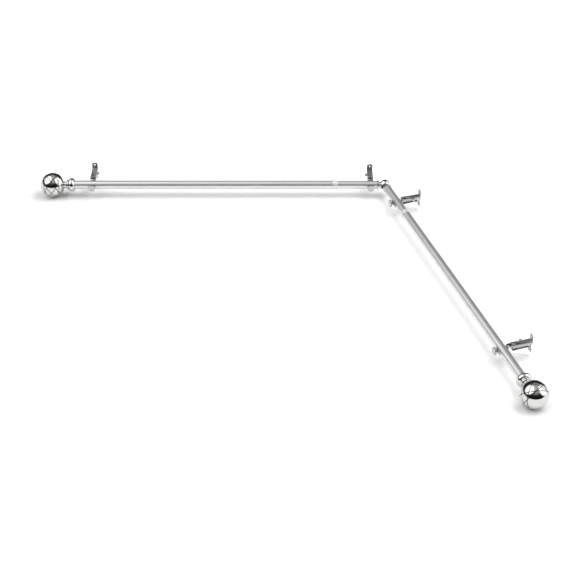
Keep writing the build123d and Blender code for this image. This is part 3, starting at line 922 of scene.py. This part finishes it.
class CURTAINROD_OT_elbow(bpy.types.Operator):
    """Finish the two halves of the swivel elbow, its hinge screw, its nut and the rivets"""

    bl_idname = "curtain_rod.elbow"
    bl_label = "Elbow"

    def execute(self, context):
        width = context.scene.rod_sizes.edge_round
        for side in SIDES:
            half = rounded_copy(f"elbow_{side}", ROD[side], width * 1.4, segments=3)
            stands_for(half, f"elbow_{side}", ROD[side])
            rivet = rounded_copy(f"elbow_rivet_{side}", ROD[side], width * 0.6)
            stands_for(rivet, f"elbow_rivet_{side}", ROD[side])
        for node in ("elbow_pin", "elbow_nut"):
            stands_for(rounded_copy(node, ROD["left"], width), node, ROD["left"])
        return {"FINISHED"}


class CURTAINROD_OT_brackets(bpy.types.Operator):
    """Finish the pressed pieces of each bracket with rounded edges"""

    bl_idname = "curtain_rod.brackets"
    bl_label = "Brackets"

    def execute(self, context):
        width = context.scene.rod_sizes.edge_round
        for place in PLACES:
            matrix = bracket_matrix(place)
            for piece in ("wall_arm", "cradle_arm", "brace"):
                node = f"{piece}_{place}"
                stands_for(rounded_copy(node, matrix, width), node, matrix)
        return {"FINISHED"}


LOCK_HEAD_LENGTH = 3.2 * MM
KNOB_LENGTH = 5 * MM
LARGE_HEAD_R = 8.8 * MM     # the head that the knurl depth is given for


class CURTAINROD_OT_screws(bpy.types.Operator):
    """Build the thumbscrews with flutes and threads, and finish the guide screws and nuts"""

    bl_idname = "curtain_rod.screws"
    bl_label = "Screws and nuts"

    lock_flutes: bpy.props.IntProperty(
        name="Lock screw flutes", description="Flutes round its head", default=24, min=6
    )
    knob_flutes: bpy.props.IntProperty(
        name="Knob flutes", description="Flutes round its head", default=14, min=6
    )

    def execute(self, context):
        sizes = context.scene.rod_sizes
        for place in PLACES:
            for screw, length, flutes in (
                ("lock_screw", LOCK_HEAD_LENGTH, self.lock_flutes),
                ("projection_knob", KNOB_LENGTH, self.knob_flutes),
            ):
                self.thumbscrew(f"{screw}_{place}", f"{place}_{screw}_turn", length, flutes, sizes)
            matrix = bracket_matrix(place)
            for piece in ("guide_screw", "guide_nut", "lip_nut"):
                node = f"{piece}_{place}"
                stands_for(rounded_copy(node, matrix, sizes.edge_round * 0.7), node, matrix)
        return {"FINISHED"}

    def thumbscrew(self, node, joint, head_length, flutes, sizes):
        matrix = screw_matrix(joint)
        low, high = reach(node, matrix, 2)
        points = points_in(node, matrix)
        head_r = max(math.hypot(point.x, point.y) for point in points)
        tip = [math.hypot(point.x, point.y) for point in points if point.z < low + 0.05 * MM]
        shank_r = max(tip)
        start = high - head_length
        shoulder = min(1.5 * MM, (start - low) * 0.3)
        depth = sizes.knurl_depth * head_r / LARGE_HEAD_R
        parts = [
            fluted_head(head_r, start, head_length, flutes, depth),
            threaded_shank(shank_r, low, start - shoulder * 0.5, sizes.thread_pitch),
            smooth_shank(shank_r * 1.5, start - shoulder, start + 0.2 * MM),
        ]
        stands_for(joined(f"{node}_cut", parts), node, matrix)


class CURTAINROD_OT_plugs(bpy.types.Operator):
    """Give the glide plugs, inserts and studs inside the rods their finishes"""

    bl_idname = "curtain_rod.plugs"
    bl_label = "Plugs and studs"

    def execute(self, context):
        for side in SIDES:
            for piece in ("inner_glide", "finial_insert", "finial_stud"):
                node = f"{piece}_{side}"
                slots = frame["nodes"][node].material_slots
                if not slots:
                    raise RuntimeError(f"{node} has no material slot")
                for slot in slots:
                    slot.material = finish_for(SLOT_OF[node])
        return {"FINISHED"}


class CURTAINROD_OT_stage(bpy.types.Operator):
    """Set the pale floor, the soft light, the room and the camera"""

    bl_idname = "curtain_rod.stage"
    bl_label = "Stage"

    def execute(self, context):
        settings = context.scene.rod_stage
        self.floor(settings)
        self.surroundings()
        pivot = Vector(JOINTS["elbow_swing"]["pos_m"])
        middle = pivot + Vector(settings.camera_aim)
        for name, towards, distance, size, power in LIGHTS:
            self.softbox(name, middle, Vector(towards).normalized(), distance, size, power)
        self.camera(settings, middle)
        context.scene.view_settings.view_transform = "Standard"
        return {"FINISHED"}

    def floor(self, settings):
        height = CAD_BOX[0].z - settings.floor_drop
        reach_out = 30.0
        corners = [(x, y, height) for x, y in ((-1, -1), (1, -1), (1, 1), (-1, 1))]
        corners = [(x * reach_out, y * reach_out, z) for x, y, z in corners]
        floor = mesh_object("studio_floor", corners, [(0, 1, 2, 3)])
        material, tree, shader = blank_material("pale_studio_floor", Roughness=0.9, Specular_IOR_Level=0.0)
        place = add(tree, "ShaderNodeTexCoord")
        mottle = add(tree, "ShaderNodeTexNoise", in_Scale=0.6, in_Detail=2.0)
        link(tree, place.outputs["Object"], mottle.inputs["Vector"])
        pale = mix_colour(tree, mottle.outputs["Fac"], (0.93, 0.93, 0.93), (0.95, 0.95, 0.95))
        link(tree, pale, shader.inputs["Base Color"])
        floor.data.materials.append(material)

    def surroundings(self):
        """Dim room with wide soft glows; the camera itself sees a plain pale backdrop."""
        world = bpy.data.worlds.new("studio_room")
        bpy.context.scene.world = world
        world.use_nodes = True
        tree = world.node_tree
        shader = tree.nodes["Background"]
        place = add(tree, "ShaderNodeTexCoord")
        height = add(tree, "ShaderNodeSeparateXYZ")
        link(tree, place.outputs["Generated"], height.inputs[0])
        ramp = add(tree, "ShaderNodeValToRGB")
        while len(ramp.color_ramp.elements) < len(ROOM_LEVELS):
            ramp.color_ramp.elements.new(0.5)
        for element, (position, level) in zip(ramp.color_ramp.elements, ROOM_LEVELS):
            element.position = position
            element.color = (level, level, level, 1)
        link(tree, height.outputs["Z"], ramp.inputs[0])
        glow = ramp.outputs[0]
        for towards, half_width, softness, radiance in GLOWS:
            middle = Vector(towards).normalized()
            likeness = add(tree, "ShaderNodeVectorMath", operation="DOT_PRODUCT", in_1=middle)
            link(tree, place.outputs["Generated"], likeness.inputs[0])
            limits = [math.cos(math.radians(half_width + step)) for step in (softness, -softness)]
            mask = add(tree, "ShaderNodeMapRange", interpolation_type="SMOOTHSTEP", in_3=0.0, in_4=radiance)
            mask.inputs[1].default_value, mask.inputs[2].default_value = limits
            link(tree, likeness.outputs["Value"], mask.inputs[0])
            both = add(tree, "ShaderNodeVectorMath", operation="ADD")
            link(tree, glow, both.inputs[0])
            link(tree, mask.outputs[0], both.inputs[1])
            glow = both.outputs[0]
        path = add(tree, "ShaderNodeLightPath")
        shown = mix_colour(tree, path.outputs["Is Camera Ray"], glow, (1.0, 1.0, 1.0))
        link(tree, shown, shader.inputs[0])

    def softbox(self, name, middle, towards, distance, size, power):
        data = bpy.data.lights.new(name, "AREA")
        data.shape = "RECTANGLE"
        data.size, data.size_y = size
        data.energy = power
        light = bpy.data.objects.new(name, data)
        light.location = middle + towards * distance
        light.rotation_mode = "QUATERNION"
        light.rotation_quaternion = towards.to_track_quat("Z", "Y")
        light.visible_camera = False
        light.visible_glossy = False
        bpy.context.scene.collection.objects.link(light)

    def camera(self, settings, aim):
        data = bpy.data.cameras.new("studio_camera")
        data.lens = settings.lens
        data.sensor_width = 36.0
        data.clip_start, data.clip_end = 0.05, 100.0
        camera = bpy.data.objects.new("studio_camera", data)
        rise = settings.camera_rise
        back = Vector((0, -math.cos(rise), math.sin(rise)))
        camera.location = aim + back * settings.camera_distance
        camera.rotation_euler = (math.pi / 2 - rise, 0, 0)
        bpy.context.scene.collection.objects.link(camera)
        bpy.context.scene.camera = camera


# Height of a direction above level, as a sine, and the room's brightness there.
ROOM_LEVELS = ((0.0, 0.01), (0.38, 0.015), (0.54, 0.05), (0.72, 0.30), (0.88, 0.5), (1.0, 0.55))

# Direction, half width and edge softness in degrees, brightness.
GLOWS = (
    ((-0.62, 0.0, 0.70), 33.0, 9.0, 1.8),
    ((0.84, 0.05, 0.52), 32.0, 9.0, 1.8),
)

# Name, direction from the object, distance, width and height in metres, watts.
LIGHTS = (
    ("key_softbox", (0.40, 0.10, 0.91), 3.2, (3.0, 1.3), 44.0),
)


class CURTAINROD_PT_panel(bpy.types.Panel):
    """Sizes, colours and steps of the curtain rod"""

    bl_idname = "CURTAINROD_PT_panel"
    bl_label = "Curtain Rod"
    bl_space_type = "VIEW_3D"
    bl_region_type = "UI"
    bl_category = "Curtain Rod"

    def draw(self, context):
        layout = self.layout
        for settings in (context.scene.rod_sizes, context.scene.rod_colours, context.scene.rod_stage):
            box = layout.box()
            for name in settings.__annotations__:
                box.prop(settings, name)
        for operator in OPERATORS:
            layout.operator(operator.bl_idname)


SETTINGS = (("rod_sizes", RodSizes), ("rod_colours", FinishColours), ("rod_stage", StageSettings))
OPERATORS = (
    CURTAINROD_OT_tubes,
    CURTAINROD_OT_mouth_rings,
    CURTAINROD_OT_finials,
    CURTAINROD_OT_elbow,
    CURTAINROD_OT_brackets,
    CURTAINROD_OT_screws,
    CURTAINROD_OT_plugs,
    CURTAINROD_OT_stage,
)


def register():
    for name, group in SETTINGS:
        bpy.utils.register_class(group)
        setattr(bpy.types.Scene, name, bpy.props.PointerProperty(type=group))
    for item in (*OPERATORS, CURTAINROD_PT_panel):
        bpy.utils.register_class(item)


def unregister():
    for item in (CURTAINROD_PT_panel, *reversed(OPERATORS)):
        bpy.utils.unregister_class(item)
    for name, group in reversed(SETTINGS):
        delattr(bpy.types.Scene, name)
        bpy.utils.unregister_class(group)


def main():
    register()
    for operator in OPERATORS:
        category, name = operator.bl_idname.split(".")
        getattr(getattr(bpy.ops, category), name)()


if __name__ == "__main__":
    main()
